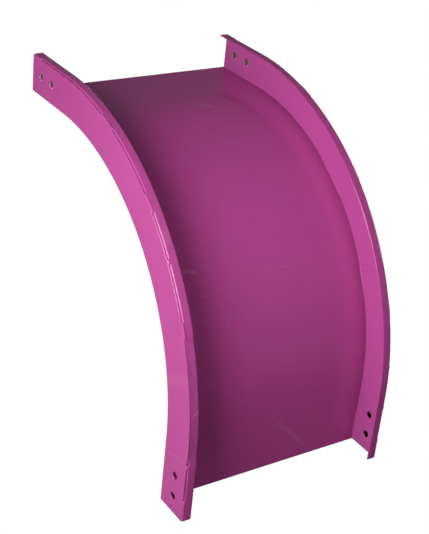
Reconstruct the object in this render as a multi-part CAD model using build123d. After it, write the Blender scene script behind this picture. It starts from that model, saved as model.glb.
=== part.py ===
from build123d import *
import math
import os

# Vertical drop fitting for a cable raceway: a 90 degree outside bend of a solid-bottom tray,
# welded from flat and rolled steel sheet. The cables lie on the convex side of the floor.
#
# Frame: X across the tray, +Z up. The origin is the middle of the floor's upper surface at the
# upper end, where the level tray arrives from +Y. The tray runs to -Y and drops to -Z.

# Overall sizes in millimetres and degrees
WIDTH = 300.0
SIDE_HEIGHT = 50.0
BEND_RADIUS = 300.0
BEND_ANGLE = 90.0
UPPER_STRAIGHT = 90.0
LOWER_STRAIGHT = 93.0

# Sheet thicknesses
FLOOR_SHEET = 2.0
WEB_SHEET = 2.0
LIP_SHEET = 2.0

# Lip strip: its own width, and the root gap that leaves its outer edge just inside the web
LIP_WIDTH = 11.2
ROOT_GAP = 0.3

# Splice holes, two in a row at each end of each web
HOLE_DIAMETER = 9.5
HOLE_FROM_END = 23.0
HOLE_SPACING = 30.0

# Broken edges of the cut sheet, under the powder coat
EDGE_ROUND = 0.4

# Corner welds of the lips: how far a bead laps onto each face, and how far the middle of its
# crown stays inside the square corner
LIP_WELD_TOE = 0.6
LIP_WELD_SETBACK = 0.325

# Inner fillet welds of the floor: leg length and hollow of the face
FLOOR_WELD_LEG = 2.2
FLOOR_WELD_HOLLOW = 0.2

# Stitch welds: (place on the bend in degrees from its start, length along the floor line)
LEFT_LIP_STITCHES = ((18.4, 27.0), (38.8, 22.0), (50.6, 6.0), (66.6, 47.0))
RIGHT_LIP_STITCHES = ((17.2, 22.0), (41.1, 26.0), (51.2, 6.0), (69.1, 24.0), (82.5, 6.0))
FLOOR_STITCHES = ((9.5, 8.0), (35.9, 53.0), (63.4, 36.0), (85.9, 8.0))

# Welds that start at the tray's two ends, and a tack just past the bend's lower end
UPPER_LIP_WELD = 22.0
LOWER_LIP_WELD = 30.0
UPPER_FLOOR_WELD = 44.0
LOWER_FLOOR_WELD = 44.0
LOWER_TACK_OFFSET = 11.0
LOWER_TACK_LENGTH = 6.0

# Worked out from the sizes above
LIP_TOP = SIDE_HEIGHT - FLOOR_SHEET
WEB_TOP = LIP_TOP - LIP_SHEET
WEB_BOTTOM = -FLOOR_SHEET
HOLE_HEIGHT = LIP_TOP / 2
LIP_INSET = WEB_SHEET + ROOT_GAP
ARC_LENGTH = BEND_RADIUS * math.radians(BEND_ANGLE)
ARC_START = UPPER_STRAIGHT
ARC_END = ARC_START + ARC_LENGTH
TRAY_LENGTH = ARC_END + LOWER_STRAIGHT
BEND_CENTRE = Vector(0, -UPPER_STRAIGHT, -BEND_RADIUS)
BEND_AXIS = Axis(BEND_CENTRE, (1, 0, 0))
ACROSS = Vector(1, 0, 0)
LEFT, RIGHT = -1, 1


def outward(angle):
    """Unit vector square to the floor, away from the bend's centre, at an angle round the bend."""
    turn = math.radians(angle)
    return Vector(0, -math.sin(turn), math.cos(turn))


def onward(angle):
    """Unit vector along the tray, towards its lower end, at an angle round the bend."""
    turn = math.radians(angle)
    return Vector(0, -math.cos(turn), -math.sin(turn))


def angle_at(station):
    """Angle round the bend at a station, the distance along the floor from the upper end."""
    return math.degrees(min(max(station - ARC_START, 0), ARC_LENGTH) / BEND_RADIUS)


def station_at(angle):
    """Station at an angle round the bend."""
    return ARC_START + BEND_RADIUS * math.radians(angle)


def place(station, height):
    """Point on the tray's middle plane, at a station and a height above the floor."""
    angle = angle_at(station)
    before = min(station - ARC_START, 0)
    after = max(station - ARC_END, 0)
    return BEND_CENTRE + outward(angle) * (BEND_RADIUS + height) + onward(angle) * (before + after)


def side_view(low, high):
    """Face in the middle plane that follows the whole tray between two heights above the floor."""
    stations = (0, ARC_START, (ARC_START + ARC_END) / 2, ARC_END, TRAY_LENGTH)
    top = [place(station, high) for station in stations]
    bottom = [place(station, low) for station in stations]
    outline = [
        Line(bottom[0], top[0]),
        Line(top[0], top[1]),
        ThreePointArc(top[1], top[2], top[3]),
        Line(top[3], top[4]),
        Line(top[4], bottom[4]),
        Line(bottom[4], bottom[3]),
        ThreePointArc(bottom[3], bottom[2], bottom[1]),
        Line(bottom[1], bottom[0]),
    ]
    return make_face(outline)


def across_the_tray(face, start, end):
    """Solid of a side view, from one distance across the tray to another."""
    return extrude(Pos(start, 0, 0) * face, amount=end - start, dir=ACROSS)


def floor_plate():
    """Rolled floor, between the webs and flush with their lower edges."""
    half = WIDTH / 2 - WEB_SHEET
    plate = across_the_tray(side_view(-FLOOR_SHEET, 0), -half, half)
    upper_end = plate.faces().sort_by(Axis.Y)[-1]
    lower_end = plate.faces().sort_by(Axis.Z)[0]
    end_edges = upper_end.edges().filter_by(Axis.X) + lower_end.edges().filter_by(Axis.X)
    return fillet(end_edges, EDGE_ROUND)


def splice_holes():
    """Drills for the splice holes at both ends, right through both webs."""
    from_upper = [HOLE_FROM_END, HOLE_FROM_END + HOLE_SPACING]
    stations = from_upper + [TRAY_LENGTH - distance for distance in from_upper]
    drills = []
    for station in stations:
        centre = place(station, HOLE_HEIGHT)
        drill = Cylinder(HOLE_DIAMETER / 2, 2 * WIDTH, rotation=(0, 90, 0))
        drills.append(Pos(*centre) * drill)
    return drills


def side_web(side):
    """Flat side web, with its splice holes and broken edges."""
    outer = WIDTH / 2
    start, end = sorted((side * (outer - WEB_SHEET), side * outer))
    web = across_the_tray(side_view(WEB_BOTTOM, WEB_TOP), start, end)
    for drill in splice_holes():
        web -= drill
    flat_faces = web.faces().filter_by(Axis.X).sort_by(Axis.X)
    rims = flat_faces[0].edges() + flat_faces[-1].edges()
    return fillet(rims, EDGE_ROUND)


def lip_strip(side):
    """Strip rolled to the bend, level with the web's top edge and just inside it."""
    outer = WIDTH / 2 - LIP_INSET
    start, end = sorted((side * (outer - LIP_WIDTH), side * outer))
    strip = across_the_tray(side_view(WEB_TOP, LIP_TOP), start, end)
    flat_faces = strip.faces().filter_by(Axis.X).sort_by(Axis.X)
    long_edges = flat_faces[0].edges() + flat_faces[-1].edges()
    return fillet(long_edges, EDGE_ROUND)


def lip_weld_section(side):
    """Corner bead's section as (across, height) corners, with its crown as a three-point arc."""
    outer = WIDTH / 2
    edge = outer - LIP_INSET
    web_toe = (side * outer, WEB_TOP - LIP_WELD_TOE)
    strip_toe = (side * (edge - LIP_WELD_TOE), LIP_TOP)
    crown = (side * (outer - LIP_WELD_SETBACK), LIP_TOP - LIP_WELD_SETBACK)
    corners = [
        strip_toe,
        (side * edge, LIP_TOP),
        (side * edge, WEB_TOP),
        (side * outer, WEB_TOP),
        web_toe,
    ]
    return corners, crown


def floor_weld_section(side):
    """Fillet bead's section in the inner corner of floor and web, with a slightly hollow face."""
    corner = WIDTH / 2 - WEB_SHEET
    web_toe = (side * corner, FLOOR_WELD_LEG)
    floor_toe = (side * (corner - FLOOR_WELD_LEG), 0)
    middle_in = FLOOR_WELD_LEG / 2 - FLOOR_WELD_HOLLOW
    face_middle = (side * (corner - middle_in), middle_in)
    return [floor_toe, (side * corner, 0), web_toe], face_middle


def section_face(section, station):
    """Section of a bead as a face square to the tray at a station."""
    corners, bulge = section

    def point(across_and_height):
        across, height = across_and_height
        return place(station, height) + ACROSS * across

    edges = [Line(point(a), point(b)) for a, b in zip(corners, corners[1:])]
    edges.append(ThreePointArc(point(corners[-1]), point(bulge), point(corners[0])))
    return make_face(edges)


def bead(section, start, end):
    """One weld bead from one station to another, along straights and round the bend."""
    pieces = []
    for low, high in ((0, ARC_START), (ARC_END, TRAY_LENGTH)):
        first, last = max(start, low), min(end, high)
        if last > first:
            face = section_face(section, first)
            pieces.append(extrude(face, amount=last - first, dir=onward(angle_at(first))))
    first, last = max(start, ARC_START), min(end, ARC_END)
    if last > first:
        sweep_angle = angle_at(last) - angle_at(first)
        pieces.append(revolve(section_face(section, first), BEND_AXIS, sweep_angle))
    whole = pieces[0]
    for piece in pieces[1:]:
        whole += piece
    return whole


def welds(section, upper_end, stitches, lower_end, tack=False):
    """All beads of one seam: one from each end of the tray, and stitches round the bend."""
    beads = [bead(section, 0, upper_end)]
    for angle, length in stitches:
        middle = station_at(angle)
        beads.append(bead(section, middle - length / 2, middle + length / 2))
    if tack:
        start = ARC_END + LOWER_TACK_OFFSET
        beads.append(bead(section, start, start + LOWER_TACK_LENGTH))
    beads.append(bead(section, TRAY_LENGTH - lower_end, TRAY_LENGTH))
    return Compound(children=beads)


def lip_welds(side, stitches):
    """Corner stitches that join a lip strip to its web."""
    return welds(lip_weld_section(side), UPPER_LIP_WELD, stitches, LOWER_LIP_WELD, tack=True)


def floor_welds(side):
    """Fillet stitches that join a web to the floor."""
    return welds(floor_weld_section(side), UPPER_FLOOR_WELD, FLOOR_STITCHES, LOWER_FLOOR_WELD)


NODES = {
    "floor_plate": floor_plate(),
    "left_side_web": side_web(LEFT),
    "right_side_web": side_web(RIGHT),
    "left_lip_strip": lip_strip(LEFT),
    "right_lip_strip": lip_strip(RIGHT),
    "left_lip_welds": lip_welds(LEFT, LEFT_LIP_STITCHES),
    "right_lip_welds": lip_welds(RIGHT, RIGHT_LIP_STITCHES),
    "left_floor_welds": floor_welds(LEFT),
    "right_floor_welds": floor_welds(RIGHT),
}

os.makedirs("parts", exist_ok=True)
for name, shape in NODES.items():
    export_step(shape, f"parts/{name}.step")
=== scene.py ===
"""Looks of a powder-coated raceway vertical drop fitting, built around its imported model.

The fitting is welded from five sheet pieces: a rolled floor, two flat side webs and two rolled
lip strips, with stitch welds in the open lip corners and in the inner floor corners.
"""

import math

import bmesh
import bpy
from mathutils import Matrix, Vector, noise


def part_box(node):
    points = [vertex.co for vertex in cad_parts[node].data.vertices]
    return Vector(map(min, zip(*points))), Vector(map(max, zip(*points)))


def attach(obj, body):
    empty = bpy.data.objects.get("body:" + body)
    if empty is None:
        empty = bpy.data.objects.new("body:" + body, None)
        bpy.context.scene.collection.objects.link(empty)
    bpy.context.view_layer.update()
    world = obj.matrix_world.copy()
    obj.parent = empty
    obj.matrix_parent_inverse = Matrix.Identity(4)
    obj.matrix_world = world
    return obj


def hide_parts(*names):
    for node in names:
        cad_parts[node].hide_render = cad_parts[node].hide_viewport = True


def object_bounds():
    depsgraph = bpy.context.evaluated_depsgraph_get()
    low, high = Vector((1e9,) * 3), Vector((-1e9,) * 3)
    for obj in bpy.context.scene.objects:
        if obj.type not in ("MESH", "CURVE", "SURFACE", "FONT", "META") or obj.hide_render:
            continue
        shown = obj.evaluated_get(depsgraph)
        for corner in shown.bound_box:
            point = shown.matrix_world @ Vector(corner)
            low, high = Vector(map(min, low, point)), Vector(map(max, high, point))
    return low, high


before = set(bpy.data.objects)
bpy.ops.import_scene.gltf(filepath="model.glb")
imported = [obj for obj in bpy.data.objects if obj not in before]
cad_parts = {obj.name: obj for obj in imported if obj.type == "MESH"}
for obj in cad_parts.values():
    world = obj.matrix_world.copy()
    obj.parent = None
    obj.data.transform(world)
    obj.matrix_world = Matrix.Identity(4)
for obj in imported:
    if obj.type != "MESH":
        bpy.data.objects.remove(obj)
cad_low, cad_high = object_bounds()

MM = 0.001

# Sizes of the tray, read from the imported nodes, in metres
floor_low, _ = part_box("floor_plate")
web_low, web_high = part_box("left_side_web")
strip_low, strip_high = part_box("left_lip_strip")
BEND_RADIUS = 300 * MM
FLOOR_SHEET = 2 * MM
HALF_WIDTH = -web_low.x
WEB_SHEET = web_high.x - web_low.x
WEB_TOP = web_high.z
LIP_TOP = strip_high.z
LIP_SHEET = LIP_TOP - WEB_TOP
STRIP_OUTER = -strip_low.x
STRIP_INNER = -strip_high.x
UPPER_STRAIGHT = -floor_low.y - BEND_RADIUS
LOWER_STRAIGHT = -floor_low.z - BEND_RADIUS
ARC_LENGTH = BEND_RADIUS * math.pi / 2
ARC_END = UPPER_STRAIGHT + ARC_LENGTH
TRAY_LENGTH = ARC_END + LOWER_STRAIGHT
BEND_CENTRE = Vector((0, -UPPER_STRAIGHT, -BEND_RADIUS))

# Splice holes in the webs
HOLE_RADIUS = 4.75 * MM
HOLE_FROM_END = 23 * MM
HOLE_SPACING = 30 * MM
HOLE_HEIGHT = LIP_TOP / 2

# Broken edges of the sheet under its coat: nearly flat chamfers
EDGE_SEGMENTS = 4
EDGE_PROFILE = 0.3
EDGE_ANGLE = math.radians(40)
FLAT_FACE_WEIGHT = 100

# How finely a sheet is divided along the tray
STATION_STEP = 7 * MM

LEFT, RIGHT = -1, 1


def window(value, start, end, ease):
    """1 between start and end, and 0 outside them, with an eased step inside each end."""
    share = min(1, max(0, min(value - start, end - value) / ease))
    return share * share * (3 - 2 * share)


def section_matrix(station):
    """Carries the cross-section at the upper end to a station, the distance along the floor."""
    before = min(station, UPPER_STRAIGHT)
    angle = min(max(station - UPPER_STRAIGHT, 0), ARC_LENGTH) / BEND_RADIUS
    after = max(station - ARC_END, 0)
    to_centre = Matrix.Translation(BEND_CENTRE)
    turn = to_centre @ Matrix.Rotation(angle, 4, "X") @ to_centre.inverted()
    return Matrix.Translation((0, 0, -after)) @ turn @ Matrix.Translation((0, -before, 0))


def tray_place(point):
    """Station, distance across and height above the floor of a point in the frame."""
    if point.y > -UPPER_STRAIGHT:
        return Vector((-point.y, point.x, point.z))
    if point.z < -BEND_RADIUS:
        height = -point.y - UPPER_STRAIGHT - BEND_RADIUS
        return Vector((ARC_END - BEND_RADIUS - point.z, point.x, height))
    from_centre = point - BEND_CENTRE
    angle = math.atan2(-from_centre.y, from_centre.z)
    height = math.hypot(from_centre.y, from_centre.z) - BEND_RADIUS
    return Vector((UPPER_STRAIGHT + BEND_RADIUS * angle, point.x, height))


def outward_at(station):
    """Unit vector square to the floor, away from the bend's centre."""
    return section_matrix(station).to_3x3() @ Vector((0, 0, 1))


def even_stations(start, end, step):
    """Stations from start to end, evenly spaced at about a step."""
    count = max(1, round((end - start) / step))
    return [start + (end - start) * i / count for i in range(count + 1)]


def sheet_stations(stops=()):
    """Stations of a sheet as long as the tray, which include the given stops."""
    fixed = sorted({0.0, UPPER_STRAIGHT, ARC_END, TRAY_LENGTH, *stops})
    stations = [0.0]
    for start, end in zip(fixed, fixed[1:]):
        stations += even_stations(start, end, STATION_STEP)[1:]
    return stations


def swept(outline, stations, closed=False):
    """Mesh of an outline of (across, height) points carried along the tray through the stations."""
    bm = bmesh.new()
    points = [bm.verts.new((across, 0, height)) for across, height in outline]
    pairs = list(zip(points, points[1:]))
    if closed:
        pairs.append((points[-1], points[0]))
    edges = [bm.edges.new(pair) for pair in pairs]
    bmesh.ops.transform(bm, matrix=section_matrix(stations[0]), verts=points)
    first_edges = edges
    for before, after in zip(stations, stations[1:]):
        grown = bmesh.ops.extrude_edge_only(bm, edges=edges)["geom"]
        edges = [part for part in grown if isinstance(part, bmesh.types.BMEdge)]
        moved = [part for part in grown if isinstance(part, bmesh.types.BMVert)]
        step = section_matrix(after) @ section_matrix(before).inverted()
        bmesh.ops.transform(bm, matrix=step, verts=moved)
        edges = [edge for edge in edges if all(vert in moved for vert in edge.verts)]
    if closed:
        for loop in (first_edges, edges):
            bmesh.ops.edgeloop_fill(bm, edges=loop)
    return bm


def uneven(point, scale, seed):
    """Smooth random value from about -1 to 1 at a point."""
    return noise.noise(Vector(point) * scale + Vector((seed, seed * 0.7, -seed)))


def faces_outward(bm, outward):
    """Turns a sheet's faces so that they point to the side that outward(point) gives."""
    bmesh.ops.recalc_face_normals(bm, faces=bm.faces)
    bm.faces.ensure_lookup_table()
    face = bm.faces[0]
    if face.normal.dot(outward(face.calc_center_median())) < 0:
        bmesh.ops.reverse_faces(bm, faces=bm.faces)


def mesh_object(name, bm, material):
    """Object of a finished mesh, in the scene."""
    mesh = bpy.data.meshes.new(name)
    bm.to_mesh(mesh)
    bm.free()
    mesh.materials.append(material)
    made = bpy.data.objects.new(name, mesh)
    bpy.context.scene.collection.objects.link(made)
    return made


def new_piece(name, bm, material, node):
    """Piece of the fitting, which stands for a node, or for none, and rides with the part."""
    piece = mesh_object(name, bm, material)
    piece.data.shade_smooth()
    places = piece.data.attributes.new("tray_place", "FLOAT_VECTOR", "POINT")
    for vert, place in zip(piece.data.vertices, places.data):
        place.vector = tray_place(vert.co)
    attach(piece, "root")
    if node:
        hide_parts(node)
    return piece


def add_thickness(piece, thickness, edge_round):
    """Gives a sheet its wall, away from the side it faces, and rounds its cut edges."""
    wall = piece.modifiers.new("wall", "SOLIDIFY")
    wall.thickness = thickness
    wall.offset = -1
    wall.use_even_offset = True
    rounded = piece.modifiers.new("broken edges", "BEVEL")
    rounded.width = edge_round
    rounded.segments = EDGE_SEGMENTS
    rounded.limit_method = "ANGLE"
    rounded.angle_limit = EDGE_ANGLE
    rounded.profile = EDGE_PROFILE
    shading = piece.modifiers.new("flat faces stay flat", "WEIGHTED_NORMAL")
    shading.weight = FLAT_FACE_WEIGHT


# Floor: rolled sheet between the webs, which keep its edges flat
FLOOR_COLUMNS = 36
FLOOR_WAVE = 0.08 * MM
FLOOR_WAVE_SCALE = 9
FLOOR_WAVE_SEED = 3
EDGE_HOLD = 25 * MM
FLOOR_ROUND = 0.4 * MM


def floor_sheet(material):
    """Rolled floor, slightly wavy away from its welded edges."""
    half = HALF_WIDTH - WEB_SHEET
    outline = [(half * (2 * i / FLOOR_COLUMNS - 1), 0) for i in range(FLOOR_COLUMNS + 1)]
    bm = swept(outline, sheet_stations())
    for vert in bm.verts:
        station, across, _ = tray_place(vert.co)
        free = min(1, (half - abs(across)) / EDGE_HOLD)
        wave = FLOOR_WAVE * free * uneven((station, across, 0), FLOOR_WAVE_SCALE, FLOOR_WAVE_SEED)
        vert.co += outward_at(station) * wave
    faces_outward(bm, lambda point: outward_at(tray_place(point).x))
    piece = new_piece("rolled_floor", bm, material, "floor_plate")
    add_thickness(piece, FLOOR_SHEET, FLOOR_ROUND)
    return piece


# Webs: flat sheet with splice holes, cut out of square cells of the sheet's own grid
HOLE_CELL = 20 * MM
CELL_CUTS = 9
CELL_INSET = 1 * MM
LOW_ROW = 7 * MM
WEB_ROUND = 0.6 * MM
SAME_PLACE = 0.01 * MM


def hole_stations():
    """Stations of the splice holes, two from each end."""
    from_end = [HOLE_FROM_END, HOLE_FROM_END + HOLE_SPACING]
    return from_end + [TRAY_LENGTH - distance for distance in from_end]


def web_outline(side):
    """Heights of the web's rows, with one band as high as the holes' cells."""
    rows = [-FLOOR_SHEET, LOW_ROW, HOLE_HEIGHT - HOLE_CELL / 2]
    rows += [HOLE_HEIGHT + HOLE_CELL / 2, WEB_TOP]
    return [(side * HALF_WIDTH, row) for row in rows]


def face_at(bm, place):
    """Face whose middle is nearest to a place."""
    return min(bm.faces, key=lambda face: (face.calc_center_median() - place).length)


def cut_hole(bm, side, station):
    """Opens a round hole in the square cell at a station, inside a ring of narrow faces."""
    place = section_matrix(station) @ Vector((side * HALF_WIDTH, 0, HOLE_HEIGHT))
    cell = face_at(bm, place)
    bmesh.ops.subdivide_edges(bm, edges=list(cell.edges), cuts=CELL_CUTS)
    cell = face_at(bm, place)
    bmesh.ops.inset_individual(bm, faces=[cell], thickness=CELL_INSET)
    for vert in cell.verts:
        vert.co = place + (vert.co - place).normalized() * HOLE_RADIUS
    bmesh.ops.delete(bm, geom=[cell], context="FACES_ONLY")


def inside_a_cell(station, stops):
    """True for a station strictly between a hole cell's two ends."""
    ends = sorted(stops)
    cells = zip(ends[::2], ends[1::2])
    return any(a + SAME_PLACE < station < b - SAME_PLACE for a, b in cells)


def side_web(name, side, material, node):
    """Flat web, square to the floor, with four open splice holes."""
    stops = []
    for station in hole_stations():
        stops += [station - HOLE_CELL / 2, station + HOLE_CELL / 2]
    stations = [s for s in sheet_stations(stops) if not inside_a_cell(s, stops)]
    bm = swept(web_outline(side), stations)
    for station in hole_stations():
        cut_hole(bm, side, station)
    faces_outward(bm, lambda point: Vector((side, 0, 0)))
    piece = new_piece(name, bm, material, node)
    add_thickness(piece, WEB_SHEET, WEB_ROUND)
    return piece


# Lips: rolled strips, a little uneven along their free edges. The left one lies lower where its
# seam is ground down.
STRIP_COLUMNS = 4
STRIP_WAVE = 0.15 * MM
STRIP_WAVE_SCALE = 14
STRIP_WAVE_SEED = 8
STRIP_ROUND = 0.85 * MM
STRIP_SINK = 2.0 * MM
SINK_RANGE = (426 * MM, 574 * MM)
SINK_EASE = 12 * MM


def lip_strip(name, side, material, node):
    """Lip strip with a slightly uneven free edge, sunk along the ground seam on the left."""
    width = STRIP_OUTER - STRIP_INNER
    columns = [STRIP_OUTER - width * i / STRIP_COLUMNS for i in range(STRIP_COLUMNS + 1)]
    bm = swept([(side * across, LIP_TOP) for across in columns], sheet_stations())
    for vert in bm.verts:
        station, across, _ = tray_place(vert.co)
        free = (STRIP_OUTER - abs(across)) / width
        wave = uneven((station, side, 1), STRIP_WAVE_SCALE, STRIP_WAVE_SEED)
        lowered = STRIP_WAVE * free * (1 - wave) / 2
        if side == LEFT:
            lowered += STRIP_SINK * window(station, *SINK_RANGE, SINK_EASE)
        vert.co -= outward_at(station) * lowered
    faces_outward(bm, lambda point: outward_at(tray_place(point).x))
    piece = new_piece(name, bm, material, node)
    add_thickness(piece, LIP_SHEET, STRIP_ROUND)
    return piece


# Stitch welds: (first station, last station, flatness), stations in millimetres along the floor.
# A bead's face is a quarter round at a flatness of 1 and a plain slope at 2. Less than 1 fills a
# lip's corner more squarely.
LEFT_LIP_BEADS = (
    (0, 22, 0.4),
    (173, 200, 0.7),
    (282, 304, 0.8),
    (352, 358, 0.9),
    (415, 433, 0.9),
    (572, 578, 1.5),
    (624, 654, 1.2),
)
RIGHT_LIP_BEADS = (
    (0, 22, 1.0),
    (169, 191, 1.6),
    (292, 318, 1.6),
    (355, 361, 1.6),
    (440, 464, 1.6),
    (519, 525, 1.6),
    (572, 578, 1.6),
    (624, 654, 1.6),
)
FLOOR_BEADS = (
    (0, 44, 1.0),
    (136, 144, 1.0),
    (252, 305, 1.0),
    (404, 440, 1.0),
    (536, 544, 1.0),
    (610, 654, 1.0),
)

# How finely a bead is divided, and its section
BEAD_STEP = 0.5 * MM
BEAD_POINTS = 9
BEAD_REACH = 0.98
BEAD_SWELL = 0.15 * MM
LIP_BEAD_TOE = 1.0 * MM
FLOOR_BEAD_LEG = 1.6 * MM

# Ripples and lumps on a bead, and its rounded ends
RIPPLE_PITCH = 1.9 * MM
RIPPLE_DEPTH = 0.07 * MM
LIP_LUMP = 0.12 * MM
FLOOR_LUMP = 0.30 * MM
BEAD_LUMP_SCALE = 420
BEAD_LUMP_SEED = 5
LUMP_LOWERING = 0.3
BEAD_END = 1.8 * MM
END_FULLNESS = 0.35
PIVOT_HOLD = 0.4 * MM

# Coat in the root gap
ROOT_COAT_DEPTH = 1.5 * MM
ROOT_COAT_LEG = 1.5 * MM
ROOT_COAT_SINK = 0.4 * MM
ROOT_COAT_END = 0.5 * MM

# Ground seam: where it runs, and the points of its section as
# (edge it is set from, millimetres across from it and above the web's top)
GROUND_RANGE = (432 * MM, 572 * MM)
GROUND_SECTION = (
    (HALF_WIDTH, -0.1, -0.5),
    (HALF_WIDTH, -0.05, 0.45),
    (HALF_WIDTH, -0.35, 0.75),
    (STRIP_OUTER, -0.2, -0.25),
    (STRIP_OUTER, -0.2, -0.8),
    (HALF_WIDTH, -1.0, -0.8),
)


def quarter_turns():
    """Angles from 0 to a right angle, one for each point of a bead's face."""
    return [math.pi / 2 * i / (BEAD_POINTS - 1) for i in range(BEAD_POINTS)]


def lip_bead_outline(side, flatness):
    """Section of a corner bead that fills the open corner between web and strip."""
    centre = Vector((STRIP_OUTER, WEB_TOP))
    web_toe = Vector((HALF_WIDTH, WEB_TOP - LIP_BEAD_TOE)) - centre
    strip_toe = Vector((STRIP_OUTER - LIP_BEAD_TOE, LIP_TOP)) - centre
    reach = Vector((HALF_WIDTH - STRIP_OUTER, LIP_SHEET)) * BEAD_REACH
    crown = []
    for turn in quarter_turns():
        across = math.cos(turn) ** flatness * reach.x
        upward = math.sin(turn) ** flatness * reach.y
        crown.append(Vector((across, upward)))
    inner = [Vector((0, LIP_SHEET - LIP_BEAD_TOE)), Vector((0, 0)), Vector((WEB_SHEET / 2, 0))]
    points = [web_toe] + crown + [strip_toe] + inner
    return [(side * (centre.x + p.x), centre.y + p.y) for p in points]


def floor_bead_outline(side, flatness):
    """Section of a fillet bead in the inner corner of floor and web."""
    corner = HALF_WIDTH - WEB_SHEET
    face = []
    for turn in quarter_turns():
        into = FLOOR_BEAD_LEG * (1 - math.sin(turn) ** flatness)
        upward = FLOOR_BEAD_LEG * (1 - math.cos(turn) ** flatness)
        swell = BEAD_SWELL * math.sin(2 * turn)
        face.append((side * (corner - into - swell), upward + swell))
    return face + [(side * corner, 0)]


def root_coat_outline(side):
    """Section of the coat that closes the root gap from inside, deep in a narrow groove."""
    web_face = HALF_WIDTH - WEB_SHEET
    low_edge = WEB_TOP - ROOT_COAT_DEPTH
    inner_edge = STRIP_OUTER - ROOT_COAT_LEG
    points = [
        (web_face, low_edge),
        (web_face + ROOT_COAT_SINK, low_edge + ROOT_COAT_SINK),
        (inner_edge + ROOT_COAT_SINK, WEB_TOP + ROOT_COAT_SINK),
        (inner_edge, WEB_TOP),
    ]
    return [(side * across, height) for across, height in points]


def roughen_bead(bm, start, end, pivot, lumps):
    """Lays ripples and lumps on a bead and rounds its two ends down to its pivot line."""
    for vert in bm.verts:
        station, across, height = tray_place(vert.co)
        arm = Vector((across - pivot[0], height - pivot[1]))
        if arm.length < PIVOT_HOLD:
            continue
        ripple = abs(math.sin(math.pi * station / RIPPLE_PITCH)) - 1
        lump = uneven(vert.co, BEAD_LUMP_SCALE, BEAD_LUMP_SEED) - LUMP_LOWERING
        grow = RIPPLE_DEPTH * ripple + lumps * lump
        from_end = min(station - start, end - station) / BEAD_END
        share = math.sqrt(max(0, 1 - (1 - min(1, from_end)) ** 2))
        fullness = END_FULLNESS + (1 - END_FULLNESS) * share
        moved = arm * fullness + arm.normalized() * grow * share - arm
        vert.co += Vector((moved.x, 0, 0)) + outward_at(station) * moved.y


def ground_seam_outline(side):
    """Section of a weld ground low, which slopes inward from the web's outer corner."""
    points = []
    for edge, across, height in GROUND_SECTION:
        points.append((side * (edge + across * MM), WEB_TOP + height * MM))
    return points


def ground_seam(name, side, material):
    """Low ground part of a lip seam, where the strip lies level with the web's edge."""
    start, end = GROUND_RANGE
    bm = swept(ground_seam_outline(side), even_stations(start, end, STATION_STEP), closed=True)
    bmesh.ops.recalc_face_normals(bm, faces=bm.faces)
    return new_piece(name, bm, material, None)


def seam_mesh(side, beads, outline, pivot, lumps):
    """Mesh of all beads of one seam."""
    whole = bmesh.new()
    for first, last, flatness in beads:
        start, end = first * MM, min(last * MM, TRAY_LENGTH)
        section = outline(side, flatness)
        bead = swept(section, even_stations(start, end, BEAD_STEP), closed=True)
        roughen_bead(bead, start, end, pivot, lumps)
        bmesh.ops.recalc_face_normals(bead, faces=bead.faces)
        part = bpy.data.meshes.new("bead")
        bead.to_mesh(part)
        bead.free()
        whole.from_mesh(part)
        bpy.data.meshes.remove(part)
    return whole


def lip_beads(name, side, beads, material, node):
    """Stitch welds in the open corner between web and lip."""
    pivot = (side * STRIP_OUTER, WEB_TOP)
    whole = seam_mesh(side, beads, lip_bead_outline, pivot, LIP_LUMP)
    return new_piece(name, whole, material, node)


def floor_beads(name, side, beads, material, node):
    """Fillet welds in the inner corner of floor and web."""
    pivot = (side * (HALF_WIDTH - WEB_SHEET), 0)
    whole = seam_mesh(side, beads, floor_bead_outline, pivot, FLOOR_LUMP)
    return new_piece(name, whole, material, node)


def root_coat(name, side, material):
    """Coat that bridges the narrow root gap under a lip's corner."""
    stations = [min(max(s, ROOT_COAT_END), TRAY_LENGTH - ROOT_COAT_END) for s in sheet_stations()]
    bm = swept(root_coat_outline(side), stations, closed=True)
    bmesh.ops.recalc_face_normals(bm, faces=bm.faces)
    return new_piece(name, bm, material, None)


# Powder coat, and a lighter copy of it on the right web: painted light that brightens that web
COAT_COLOUR = (0.580, 0.083, 0.353, 1)
LIT_RIGHT_WEB_COLOUR = (0.607, 0.098, 0.393, 1)

# Orange peel: soft dimples and finer grit
PEEL_DEPTH = 0.001 * MM
DIMPLE_SCALE = 330
GRIT_SCALE = 1400
GRIT_SHARE = 0.2

# Slow clouds and fine mottle in the coat's tone, and the range that most of a noise lies in
SHIFT_COLOUR = (0.25, 0.02, 0.16, 1)
CLOUD_SCALE = 11
CLOUD_SHIFT = 0.05
MOTTLE_SCALE = 160
MOTTLE_SHIFT = 0.015
NOISE_LOW, NOISE_HIGH = 0.3, 0.7

# Lighter edges, partly thinner paint and partly a painted highlight, from where they start to show
# up to where they show fully
EDGE_WEAR_AND_HIGHLIGHT_COLOUR = (0.62, 0.22, 0.44, 1)
EDGE_STARTS, EDGE_ENDS = 0.53, 0.60
EDGE_SHARE = 0.12

# Dust: fine flecks that gather in patches and dull the coat
DUST_COLOUR = (0.75, 0.45, 0.6, 1)
FLECK_SCALE = 900
FLECK_STARTS, FLECK_ENDS = 0.72, 0.80
PATCH_SCALE = 25
PATCH_STARTS, PATCH_ENDS = 0.48, 0.65
DUST_DULLNESS = 0.5

# Parts that handling has rubbed a little duller
RUB_SCALE = 17
RUB_STARTS, RUB_ENDS = 0.35, 0.7
RUB_DULLNESS = 0.03

# Skin of the weld beads
WELD_GRAIN = 0.05 * MM
WELD_GRAIN_SCALE = 800

# How dusty and how dull the coat is on each kind of piece
SHEET_DUST = 0.2
WELD_DUST = 0.1
FLOOR_DULLNESS = 0.0
SHEET_DULLNESS = 0.05
WELD_DULLNESS = 0.10


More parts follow.
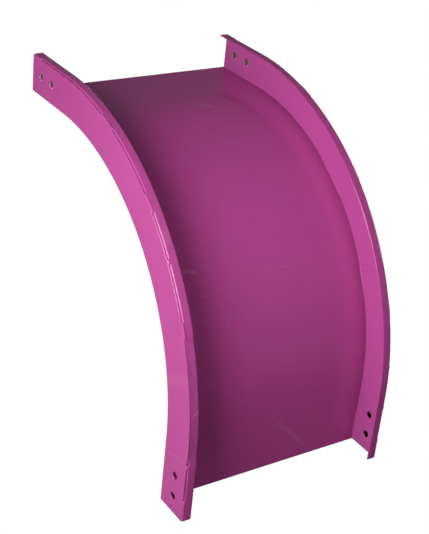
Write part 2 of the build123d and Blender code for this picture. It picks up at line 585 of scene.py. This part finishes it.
def new_group(name, inputs, outputs):
    """Empty shader node group with named float sockets, or colours where the default is a tuple."""
    tree = bpy.data.node_groups.new(name, "ShaderNodeTree")
    for label, default in inputs.items():
        kind = "NodeSocketColor" if isinstance(default, tuple) else "NodeSocketFloat"
        tree.interface.new_socket(label, in_out="INPUT", socket_type=kind).default_value = default
    for label, kind in outputs.items():
        tree.interface.new_socket(label, in_out="OUTPUT", socket_type=kind)
    return tree, tree.nodes.new("NodeGroupInput"), tree.nodes.new("NodeGroupOutput")


def noise_node(tree, coordinates, scale, detail=2.0, roughness=0.5):
    """Noise texture on the given coordinates. Its value runs round 0.5."""
    node = tree.nodes.new("ShaderNodeTexNoise")
    node.inputs["Scale"].default_value = scale
    node.inputs["Detail"].default_value = detail
    node.inputs["Roughness"].default_value = roughness
    tree.links.new(coordinates, node.inputs["Vector"])
    return node.outputs["Fac"]


def feed(tree, value, socket):
    """Gives a socket a plain value, or a link from another socket."""
    if isinstance(value, (int, float, tuple)):
        socket.default_value = value
    else:
        tree.links.new(value, socket)


def remap(tree, value, low, high, to_low=0.0, to_high=1.0):
    """Value carried from one range to another, held at the ends."""
    node = tree.nodes.new("ShaderNodeMapRange")
    ends = {"From Min": low, "From Max": high, "To Min": to_low, "To Max": to_high}
    for label, number in ends.items():
        node.inputs[label].default_value = number
    tree.links.new(value, node.inputs["Value"])
    return node.outputs["Result"]


def math_node(tree, operation, *values):
    """Math node whose inputs are sockets or plain numbers."""
    node = tree.nodes.new("ShaderNodeMath")
    node.operation = operation
    for socket, value in zip(node.inputs, values):
        feed(tree, value, socket)
    return node.outputs["Value"]


def product(tree, first, *others):
    """Product of sockets and plain numbers."""
    for other in others:
        first = math_node(tree, "MULTIPLY", first, other)
    return first


def mixed_colour(tree, share, first, second):
    """Colour between two colours, each a socket or a plain colour."""
    node = tree.nodes.new("ShaderNodeMix")
    node.data_type = "RGBA"
    given = (("Factor", "VALUE", share), ("A", "RGBA", first), ("B", "RGBA", second))
    for label, kind, value in given:
        socket = next(s for s in node.inputs if s.name == label and s.type == kind)
        feed(tree, value, socket)
    return next(s for s in node.outputs if s.type == "RGBA")


def orange_peel_group():
    """Height of a powder coat's orange peel, in metres: soft dimples and finer grit."""
    tree, given, result = new_group("orange peel", {"Depth": 1.0}, {"Height": "NodeSocketFloat"})
    place = tree.nodes.new("ShaderNodeTexCoord").outputs["Object"]
    dimples = noise_node(tree, place, DIMPLE_SCALE, detail=1)
    grit = noise_node(tree, place, GRIT_SCALE, detail=1)
    both = math_node(tree, "ADD", dimples, product(tree, grit, GRIT_SHARE))
    tree.links.new(product(tree, both, given.outputs["Depth"]), result.inputs["Height"])
    return tree


def tone_shift(tree, place):
    """How far the coat leans to its darker tone: slow clouds and fine mottle."""
    clouds = noise_node(tree, place, CLOUD_SCALE, detail=3)
    mottle = noise_node(tree, place, MOTTLE_SCALE)
    clouds = remap(tree, clouds, NOISE_LOW, NOISE_HIGH, -CLOUD_SHIFT, CLOUD_SHIFT)
    mottle = remap(tree, mottle, NOISE_LOW, NOISE_HIGH, -MOTTLE_SHIFT, MOTTLE_SHIFT)
    return math_node(tree, "ABSOLUTE", math_node(tree, "ADD", clouds, mottle))


def coat_tone_group():
    """Coat colour with slow tone shifts, fine mottle, lighter edges that are partly thinner paint
    and partly a painted highlight, and faint dust.
    """
    inputs = {"Colour": COAT_COLOUR, "Dust": 0.1, "Dullness": 0.03}
    outputs = {"Colour": "NodeSocketColor", "Roughness": "NodeSocketFloat"}
    tree, given, result = new_group("coat tone", inputs, outputs)
    given = given.outputs
    place = tree.nodes.new("ShaderNodeTexCoord").outputs["Object"]
    colour = mixed_colour(tree, tone_shift(tree, place), given["Colour"], SHIFT_COLOUR)
    # Lighter edges: partly thinner paint, partly a painted highlight
    pointiness = tree.nodes.new("ShaderNodeNewGeometry").outputs["Pointiness"]
    edges = product(tree, remap(tree, pointiness, EDGE_STARTS, EDGE_ENDS), EDGE_SHARE)
    colour = mixed_colour(tree, edges, colour, EDGE_WEAR_AND_HIGHLIGHT_COLOUR)
    flecks = noise_node(tree, place, FLECK_SCALE, roughness=0.7)
    flecks = remap(tree, flecks, FLECK_STARTS, FLECK_ENDS)
    patches = noise_node(tree, place, PATCH_SCALE)
    patches = remap(tree, patches, PATCH_STARTS, PATCH_ENDS)
    dust = product(tree, flecks, patches, given["Dust"])
    colour = mixed_colour(tree, dust, colour, DUST_COLOUR)
    tree.links.new(colour, result.inputs["Colour"])
    rubs = noise_node(tree, place, RUB_SCALE, detail=4, roughness=0.6)
    rubs = remap(tree, rubs, RUB_STARTS, RUB_ENDS, 0.0, RUB_DULLNESS)
    rubs = math_node(tree, "ADD", rubs, given["Dullness"])
    roughness = math_node(tree, "ADD", rubs, product(tree, dust, DUST_DULLNESS))
    tree.links.new(roughness, result.inputs["Roughness"])
    return tree


def placed_group(tree, group, **values):
    """Node group set in a material with its own values."""
    node = tree.nodes.new("ShaderNodeGroup")
    node.node_tree = group
    for label, value in values.items():
        node.inputs[label].default_value = value
    return node


# Faint pale marks on the coat, both smudges and painted highlight lines: the share of their reach
# that doesn't fade, and the specks of broken ones
MARK_AND_HIGHLIGHT_COLOUR = (0.72, 0.42, 0.50, 1)
MARK_CORE = 0.4
MARK_DULLNESS = 0.5
SPECK_SCALE = 520
SPECK_STARTS, SPECK_ENDS = 0.5, 0.62


def coat_mark_group():
    """Mask of one faint mark: a soft-edged bar on the sheet, which can run aslant and be broken."""
    inputs = {"Station": 0.0, "Across": 0.0, "Middle": 0.0, "Centre": 0.0, "Slant": 0.0}
    inputs |= {"Half length": 0.001, "Half width": 0.001, "Broken": 0.0, "Strength": 0.1}
    tree, given, result = new_group("coat mark", inputs, {"Mask": "NodeSocketFloat"})
    given = given.outputs
    along = math_node(tree, "SUBTRACT", given["Station"], given["Middle"])
    sideways = math_node(tree, "SUBTRACT", given["Across"], given["Centre"])
    lengthways = math_node(tree, "SUBTRACT", along, product(tree, sideways, given["Slant"]))
    shares = []
    for offset, half in ((lengthways, given["Half length"]), (sideways, given["Half width"])):
        reach = math_node(tree, "DIVIDE", math_node(tree, "ABSOLUTE", offset), half)
        shares.append(remap(tree, reach, MARK_CORE, 1.0, 1.0, 0.0))
    place = tree.nodes.new("ShaderNodeTexCoord").outputs["Object"]
    specks = noise_node(tree, place, SPECK_SCALE, detail=3, roughness=0.7)
    specks = remap(tree, specks, SPECK_STARTS, SPECK_ENDS)
    whole = math_node(tree, "SUBTRACT", 1.0, given["Broken"])
    texture = math_node(tree, "ADD", whole, product(tree, specks, given["Broken"]))
    mask = product(tree, *shares, texture, given["Strength"])
    tree.links.new(mask, result.inputs["Mask"])
    return tree


ORANGE_PEEL = orange_peel_group()
COAT_TONE = coat_tone_group()
COAT_MARK = coat_mark_group()

# Directions that sides of the sheets face, and how squarely a face has to point that way
BEND_OUTWARD = (0, -0.7, 0.7)
BEND_INWARD = (0, 0.7, -0.7)
LEFTWARD = (-1, 0, 0)
FACING_SHARE = 0.3

# Faint marks, in millimetres on the sheet:
# (station, across, half length, half width, slant, how broken, strength)
FLOOR_MARKS = (
    (122, 42, 5, 9, 0.5, 0.8, 0.28),
    (217, 0, 2, 2, 0.0, 0.5, 0.10),
    (366, -97, 3, 10, 0.4, 0.6, 0.45),
    (364, -104, 4, 5, 0.0, 0.3, 0.20),
    (383, 36, 1.2, 14, 0.0, 0.0, 0.09),
    (383, 8, 1.0, 20, 0.0, 0.0, 0.04),
    (398, -88, 1.5, 8, 0.0, 0.3, 0.12),
    (403, -53, 1.5, 11, 1.0, 0.8, 0.14),
    (437, -61, 6, 2, 0.0, 0.8, 0.14),
    (434, 67, 1.2, 55, 0.16, 0.0, 0.02),
    (507, -88, 1.5, 16, -0.4, 0.0, 0.08),
    (520, -32, 1.5, 11, 0.0, 0.0, 0.06),
    (612, 39, 6, 42, 1.04, 0.0, 0.09),
)

# Painted highlight lines on the left web, where its flat face mirrors the edge of a lamp. Here the
# second number is the height above the floor
WEB_HIGHLIGHT_LINES = (
    (479, 24, 9, 60, -0.19, 0.0, 0.06),
    (577, 14, 1.3, 34, -0.26, 0.0, 0.13),
)
# Painted highlight line across the left lip, at a break in its shading
LIP_HIGHLIGHT_LINE = ((511, -139, 1.5, 8, -0.45, 0.0, 0.30),)


def tray_axes(tree):
    """Station, distance across and height at the shaded point, from the mesh's own attribute."""
    place = tree.nodes.new("ShaderNodeAttribute")
    place.attribute_name = "tray_place"
    axes = tree.nodes.new("ShaderNodeSeparateXYZ")
    tree.links.new(place.outputs["Vector"], axes.inputs["Vector"])
    return axes.outputs


def all_marks(tree, marks, station, across):
    """Mask of every mark in a list."""
    total = 0.0
    for middle, centre, half_length, half_width, slant, broken, strength in marks:
        mark = placed_group(tree, COAT_MARK, Slant=slant, Broken=broken, Strength=strength)
        mark.inputs["Middle"].default_value = middle * MM
        mark.inputs["Centre"].default_value = centre * MM
        mark.inputs["Half length"].default_value = half_length * MM
        mark.inputs["Half width"].default_value = half_width * MM
        tree.links.new(station, mark.inputs["Station"])
        tree.links.new(across, mark.inputs["Across"])
        total = math_node(tree, "MAXIMUM", total, mark.outputs["Mask"])
    return total


def facing(tree, direction):
    """1 where the surface faces roughly in a direction."""
    dot = tree.nodes.new("ShaderNodeVectorMath")
    dot.operation = "DOT_PRODUCT"
    tree.links.new(tree.nodes.new("ShaderNodeNewGeometry").outputs["Normal"], dot.inputs[0])
    dot.inputs[1].default_value = direction
    return math_node(tree, "GREATER_THAN", dot.outputs["Value"], FACING_SHARE)


def floor_marks(tree):
    """Pale smudges, specks and fine light lines on the floor's upper side."""
    axes = tray_axes(tree)
    marks = all_marks(tree, FLOOR_MARKS, axes["X"], axes["Y"])
    return product(tree, facing(tree, BEND_OUTWARD), marks)


def web_highlight_lines(tree):
    """Painted highlight lines on the left web's outer side, where its flat face mirrors the edge of
    a lamp.
    """
    axes = tray_axes(tree)
    left_web = math_node(tree, "LESS_THAN", axes["Y"], 0.0)
    marks = all_marks(tree, WEB_HIGHLIGHT_LINES, axes["X"], axes["Z"])
    return product(tree, left_web, facing(tree, LEFTWARD), marks)


def lip_highlight_line(tree):
    """Painted highlight line across the left lip, at a break in its shading."""
    axes = tray_axes(tree)
    marks = all_marks(tree, LIP_HIGHLIGHT_LINE, axes["X"], axes["Y"])
    return product(tree, facing(tree, BEND_OUTWARD), marks)


def weld_grain(tree):
    """Fine uneven skin of a bead, in metres."""
    place = tree.nodes.new("ShaderNodeTexCoord").outputs["Object"]
    return product(tree, noise_node(tree, place, WELD_GRAIN_SCALE), WELD_GRAIN)


# Painted shade: the coat's colour is darkened towards the inner floor corners, where the webs shade
# the floor, and on the lips' undersides, which lie in shade
PAINTED_SHADE_COLOUR = (0.02, 0.0, 0.01, 1)
CORNER_REACH = 24 * MM
CORNER_SHARE = 0.24
CORNER_FADE = 1.6
UNDERSIDE_SHARE = 0.8


def painted_corner_shade(tree):
    """Painted shade: mask that grows towards the floor's two welded edges."""
    across = math_node(tree, "ABSOLUTE", tray_axes(tree)["Y"])
    edge = HALF_WIDTH - WEB_SHEET
    near = remap(tree, across, edge - CORNER_REACH, edge)
    return product(tree, math_node(tree, "POWER", near, CORNER_FADE), CORNER_SHARE)


def painted_underside_shade(tree):
    """Painted shade: mask of the sides that face in towards the bend's centre."""
    return product(tree, facing(tree, BEND_INWARD), UNDERSIDE_SHARE)


def powder_coat(name, dust, dullness, base=COAT_COLOUR, marks=None, painted_shade=None, extra_height=None):
    """Glossy powder coat. marks gives a piece's own pale marks, painted_shade its painted shade
    mask, and extra_height its bumps.
    """
    material = bpy.data.materials.new(name)
    material.use_nodes = True
    tree = material.node_tree
    shader = tree.nodes["Principled BSDF"]
    tone = placed_group(tree, COAT_TONE, Colour=base, Dust=dust, Dullness=dullness)
    colour = tone.outputs["Colour"]
    roughness = tone.outputs["Roughness"]
    # Painted shade: the piece's shade mask darkens its colour
    if painted_shade:
        colour = mixed_colour(tree, painted_shade(tree), colour, PAINTED_SHADE_COLOUR)
    # Pale marks: smudges and specks, and painted highlight lines on the left web and lip
    if marks:
        mask = marks(tree)
        colour = mixed_colour(tree, mask, colour, MARK_AND_HIGHLIGHT_COLOUR)
        roughness = math_node(tree, "ADD", roughness, product(tree, mask, MARK_DULLNESS))
    tree.links.new(colour, shader.inputs["Base Color"])
    tree.links.new(roughness, shader.inputs["Roughness"])
    height = placed_group(tree, ORANGE_PEEL, Depth=PEEL_DEPTH).outputs["Height"]
    if extra_height:
        height = math_node(tree, "ADD", height, extra_height(tree))
    # At a strength and distance of 1 the bump takes its heights as metres
    bump = tree.nodes.new("ShaderNodeBump")
    bump.inputs["Distance"].default_value = 1.0
    bump.inputs["Strength"].default_value = 1.0
    tree.links.new(height, bump.inputs["Height"])
    tree.links.new(bump.outputs["Normal"], shader.inputs["Normal"])
    return material


def floor_coat():
    """Coat of the floor, with painted shade in its corners and with its marks."""
    name = "powder_coat_floor"
    return powder_coat(name, SHEET_DUST, FLOOR_DULLNESS, marks=floor_marks, painted_shade=painted_corner_shade)


def web_coats():
    """Coats of the two webs: the left one with painted highlight lines, the right one a lighter
    copy of the coat that paints more light on it.
    """
    left = powder_coat("powder_coat_left_web", SHEET_DUST, SHEET_DULLNESS, marks=web_highlight_lines)
    # The right web's lighter coat is painted light
    right = powder_coat("powder_coat_right_web", SHEET_DUST, SHEET_DULLNESS, base=LIT_RIGHT_WEB_COLOUR)
    return left, right


def lip_coat():
    """Coat of both lips, with painted shade on their undersides and a painted highlight line across
    the left one.
    """
    name = "powder_coat_lips"
    return powder_coat(name, SHEET_DUST, SHEET_DULLNESS, marks=lip_highlight_line, painted_shade=painted_underside_shade)


def build_side(label, side, web_coat, strip_coat, weld_coat, beads):
    """Web, lip and welds of one side."""
    side_web(f"{label}_web", side, web_coat, f"{label}_side_web")
    lip_strip(f"{label}_lip", side, strip_coat, f"{label}_lip_strip")
    lip_beads(f"{label}_lip_beads", side, beads, weld_coat, f"{label}_lip_welds")
    root_coat(f"{label}_root_coat", side, weld_coat)
    if side == LEFT:
        ground_seam("left_ground_seam", side, strip_coat)
    floor_beads(f"{label}_floor_beads", side, FLOOR_BEADS, weld_coat, f"{label}_floor_welds")


def build_pieces():
    """Every visible piece of the fitting. Gives back the floor."""
    sheet_coat = floor_coat()
    left_coat, right_coat = web_coats()
    strip_coat = lip_coat()
    weld_coat = powder_coat("powder_coat_welds", WELD_DUST, WELD_DULLNESS, extra_height=weld_grain)
    floor = floor_sheet(sheet_coat)
    build_side("left", LEFT, left_coat, strip_coat, weld_coat, LEFT_LIP_BEADS)
    build_side("right", RIGHT, right_coat, strip_coat, weld_coat, RIGHT_LIP_BEADS)
    return floor


# Camera: place and aim in metres, lens in millimetres on a 36 mm long side
CAMERA_PLACE = Vector((-0.82043, -1.39284, 0.56416))
CAMERA_AIM = Vector((0, -0.23884, -0.17591))
CAMERA_ROLL = math.radians(6.125)
CAMERA_LENS = 83.37
CAMERA_SENSOR = 36
CAMERA_NEAR = 0.05
CAMERA_FAR = 50


def add_camera():
    """Camera at the photograph's viewpoint, turned a little about its own line of sight."""
    data = bpy.data.cameras.new("camera")
    data.lens = CAMERA_LENS
    data.sensor_width = CAMERA_SENSOR
    data.clip_start = CAMERA_NEAR
    data.clip_end = CAMERA_FAR
    camera = bpy.data.objects.new("camera", data)
    bpy.context.scene.collection.objects.link(camera)
    camera.location = CAMERA_PLACE
    aim = (CAMERA_AIM - CAMERA_PLACE).to_track_quat("-Z", "Y").to_matrix().to_4x4()
    camera.rotation_euler = (aim @ Matrix.Rotation(CAMERA_ROLL, 4, "Z")).to_euler()
    bpy.context.scene.camera = camera


# Stage: the camera sees floor and world as white, and the coat mirrors dimmer surroundings,
# which are dark in front of the fitting and lighter behind it
WHITE = (1.0, 1.0, 1.0, 1)
FLOOR_DROP = 0.25
FLOOR_REACH = 8
FLOOR_GREY = (0.35, 0.35, 0.35, 1)
WORLD_GREY = (0.055, 0.055, 0.055, 1)
FRONT_DARK = (0.0, 0.0, 0.0, 1)
LEFT_NEAR_GREY = (0.20, 0.20, 0.20, 1)
LEFT_FAR_GREY = (0.08, 0.08, 0.08, 1)
RIGHT_TONE = (0.060, 0.075, 0.045, 1)
SKY_GREY = (0.11, 0.11, 0.11, 1)

# Where the mirrored surroundings change: on the floor in metres, backward along Y and leftward
# along X, and in the sky by the Y part of a ray's direction
LEFT_BACK_STARTS, LEFT_BACK_ENDS = -0.5, -0.1
RIGHT_BACK_STARTS, RIGHT_BACK_ENDS = -0.1, 0.3
FAR_STARTS, FAR_ENDS = 1.0, 1.6
LEFT_STARTS, LEFT_ENDS = 0.3, -0.3
SKY_STARTS, SKY_ENDS = 0.0, 0.8


def from_camera(tree, rays):
    """1 for a ray from the camera, also where it was bent on its way."""
    return math_node(tree, "MAXIMUM", rays["Is Camera Ray"], rays["Is Transmission Ray"])


def direct_view(tree):
    """1 for a ray that comes from the camera without passing a pane."""
    rays = tree.nodes.new("ShaderNodeLightPath").outputs
    no_pane = math_node(tree, "LESS_THAN", rays["Transparent Depth"], 0.5)
    return product(tree, from_camera(tree, rays), no_pane)


def seen_or_mirrored(tree):
    """1 for a ray that sees or mirrors the stage, and 0 for light on its way to a dull surface."""
    rays = tree.nodes.new("ShaderNodeLightPath").outputs
    return math_node(tree, "MAXIMUM", from_camera(tree, rays), rays["Is Glossy Ray"])


def split_rays(tree, dull, seen, output):
    """Gives one shader to rays that see or mirror the stage, and another to all other light."""
    mix = tree.nodes.new("ShaderNodeMixShader")
    tree.links.new(seen_or_mirrored(tree), mix.inputs["Fac"])
    tree.links.new(dull, mix.inputs[1])
    tree.links.new(seen, mix.inputs[2])
    tree.links.new(mix.outputs["Shader"], tree.nodes[output].inputs["Surface"])


def axes_of(tree, coordinates):
    """X, Y and Z of a place or direction that a Texture Coordinate node gives."""
    axes = tree.nodes.new("ShaderNodeSeparateXYZ")
    place = tree.nodes.new("ShaderNodeTexCoord").outputs[coordinates]
    tree.links.new(place, axes.inputs["Vector"])
    return axes.outputs


def stage_material():
    """Plain pale floor, white to the camera, and dimmer in a gloss and through a pane."""
    material = bpy.data.materials.new("stage_floor")
    material.use_nodes = True
    tree = material.node_tree
    tree.nodes.remove(tree.nodes["Principled BSDF"])
    axes = axes_of(tree, "Object")
    across, back = axes["X"], axes["Y"]
    far_off = remap(tree, back, FAR_STARTS, FAR_ENDS)
    left = mixed_colour(tree, far_off, LEFT_NEAR_GREY, LEFT_FAR_GREY)
    left = mixed_colour(tree, remap(tree, back, LEFT_BACK_STARTS, LEFT_BACK_ENDS), FRONT_DARK, left)
    right = remap(tree, back, RIGHT_BACK_STARTS, RIGHT_BACK_ENDS)
    right = mixed_colour(tree, right, FRONT_DARK, RIGHT_TONE)
    mirrored = tree.nodes.new("ShaderNodeLightPath").outputs["Is Glossy Ray"]
    to_left = product(tree, remap(tree, across, LEFT_STARTS, LEFT_ENDS), mirrored)
    surroundings = mixed_colour(tree, to_left, right, left)
    diffuse = tree.nodes.new("ShaderNodeBsdfDiffuse")
    diffuse.inputs["Color"].default_value = FLOOR_GREY
    glow = tree.nodes.new("ShaderNodeEmission")
    seen_colour = mixed_colour(tree, direct_view(tree), surroundings, WHITE)
    tree.links.new(seen_colour, glow.inputs["Color"])
    split_rays(tree, diffuse.outputs["BSDF"], glow.outputs["Emission"], "Material Output")
    return material


def add_stage():
    """Floor below the fitting, which is held by its upper end."""
    bm = bmesh.new()
    level = Matrix.Translation((0, 0, cad_low.z - FLOOR_DROP))
    bmesh.ops.create_grid(bm, x_segments=1, y_segments=1, size=FLOOR_REACH, matrix=level)
    floor = mesh_object("stage_floor", bm, stage_material())


def add_world():
    """Dim even surroundings, white to the camera, and a little lighter behind in a gloss."""
    world = bpy.data.worlds.new("studio")
    bpy.context.scene.world = world
    world.use_nodes = True
    tree = world.node_tree
    even = tree.nodes["Background"]
    even.inputs["Color"].default_value = WORLD_GREY
    to_back = remap(tree, axes_of(tree, "Generated")["Y"], SKY_STARTS, SKY_ENDS)
    surroundings = mixed_colour(tree, to_back, FRONT_DARK, SKY_GREY)
    seen = tree.nodes.new("ShaderNodeBackground")
    seen_colour = mixed_colour(tree, direct_view(tree), surroundings, WHITE)
    tree.links.new(seen_colour, seen.inputs["Color"])
    split_rays(tree, even.outputs["Background"], seen.outputs["Background"], "World Output")


# Panes: clear discs in the splice holes, past which the stage isn't whitened, so that the
# holes look as dark as the surroundings are
PANE_SIDES = 40


def pane_material():
    """Fully clear pane."""
    material = bpy.data.materials.new("clear_pane")
    material.use_nodes = True
    tree = material.node_tree
    tree.nodes.remove(tree.nodes["Principled BSDF"])
    clear = tree.nodes.new("ShaderNodeBsdfTransparent")
    tree.links.new(clear.outputs["BSDF"], tree.nodes["Material Output"].inputs["Surface"])
    return material


def add_panes():
    """One clear disc in the middle of each splice hole."""
    bm = bmesh.new()
    on_edge = Matrix.Rotation(math.pi / 2, 4, "Y")
    for side in (LEFT, RIGHT):
        middle = Vector((side * (HALF_WIDTH - WEB_SHEET / 2), 0, HOLE_HEIGHT))
        for station in hole_stations():
            place = Matrix.Translation(section_matrix(station) @ middle) @ on_edge
            bmesh.ops.create_circle(
                bm, cap_ends=True, radius=HOLE_RADIUS, segments=PANE_SIDES, matrix=place
            )
    panes = mesh_object("hole_panes", bm, pane_material())


# Lamps: square softboxes that face the fitting, as (azimuth and elevation in degrees, azimuth 0
# along +Y, distance and size in metres, watts). The key's mirror image would burn out parts of the
# flat floor, so the floor has a twin of the key that isn't mirrored.
LAMP_AIM = Vector((0, -0.22, -0.17))
KEY = (-114, 23.5, 1.15, 0.66, 12.8)
FLOOR_KEY = (-114, 23.5, 1.15, 0.66, 13.0)
FRONT_FILL = (180, 36, 0.85, 0.4, 0.92)
HIGH_FILL = (160, 60, 1.8, 0.8, 1.1)
RIGHT_FILL = (80, -12, 1.8, 0.9, 16)
BACK_FILL = (20, -6, 1.8, 0.9, 14)


def add_lamp(name, azimuth, elevation, distance, size, power, mirrored=True):
    """Softbox at a direction and distance from the fitting, turned to face it."""
    turn, lift = math.radians(azimuth), math.radians(elevation)
    flat = Vector((math.sin(turn), math.cos(turn), 0)) * math.cos(lift)
    place = LAMP_AIM + (flat + Vector((0, 0, math.sin(lift)))) * distance
    data = bpy.data.lights.new(name, "AREA")
    data.shape = "SQUARE"
    data.size = size
    data.energy = power
    lamp = bpy.data.objects.new(name, data)
    lamp.visible_camera = False
    lamp.visible_glossy = mirrored
    bpy.context.scene.collection.objects.link(lamp)
    lamp.location = place
    lamp.rotation_euler = (LAMP_AIM - place).to_track_quat("-Z", "Y").to_euler()
    return lamp


def light_linked(lamp, piece, state):
    """Makes a lamp light only one piece, or every piece but that one."""
    group = bpy.data.collections.new(f"{lamp.name}_{state.lower()}")
    group.objects.link(piece)
    group.collection_objects[0].light_linking.link_state = state
    lamp.light_linking.receiver_collection = group


def add_lamps(floor):
    """All lamps. The key and its twin share the pieces between them."""
    light_linked(add_lamp("key", *KEY), floor, "EXCLUDE")
    light_linked(add_lamp("floor_key", *FLOOR_KEY, mirrored=False), floor, "INCLUDE")
    add_lamp("front_fill", *FRONT_FILL, mirrored=False)
    add_lamp("high_fill", *HIGH_FILL)
    add_lamp("right_fill", *RIGHT_FILL)
    add_lamp("back_fill", *BACK_FILL)


rolled_floor = build_pieces()
add_camera()
add_stage()
add_panes()
add_world()
add_lamps(rolled_floor)
bpy.context.scene.view_settings.view_transform = "Standard"
